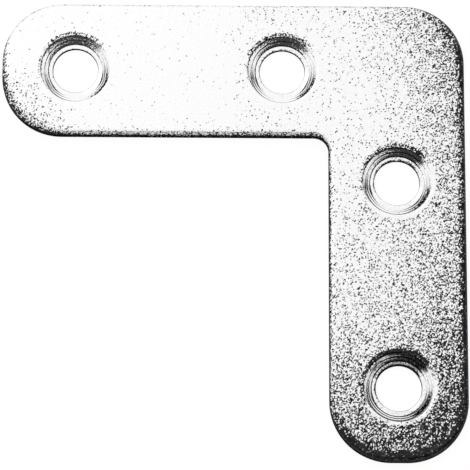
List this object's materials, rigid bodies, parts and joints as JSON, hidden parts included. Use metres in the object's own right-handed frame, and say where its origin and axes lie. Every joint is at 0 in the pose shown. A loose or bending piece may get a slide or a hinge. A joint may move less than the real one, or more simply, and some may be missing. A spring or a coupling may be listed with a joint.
{
  "type": "flat corner brace",
  "caption": "Flat L-shaped steel plate that ties two boards together at a square corner, with rounded arm ends, a rolled front edge and countersunk screw holes.",
  "frame": {"origin": "on the flat back face, where the centre lines of the two arms cross", "axes": "+Z out of the countersunk front face, one arm along -X and the other along -Y"},
  "size_m": [0.05, 0.05, 0.0015],
  "materials": {
    "zinc_plate": "matte zinc plating with a fine speckled grain, darker towards the edges, and brighter in the machined countersinks"
  },
  "bodies": {
    "root": {"corner_plate": "zinc_plate"}
  },
  "joints": []
}
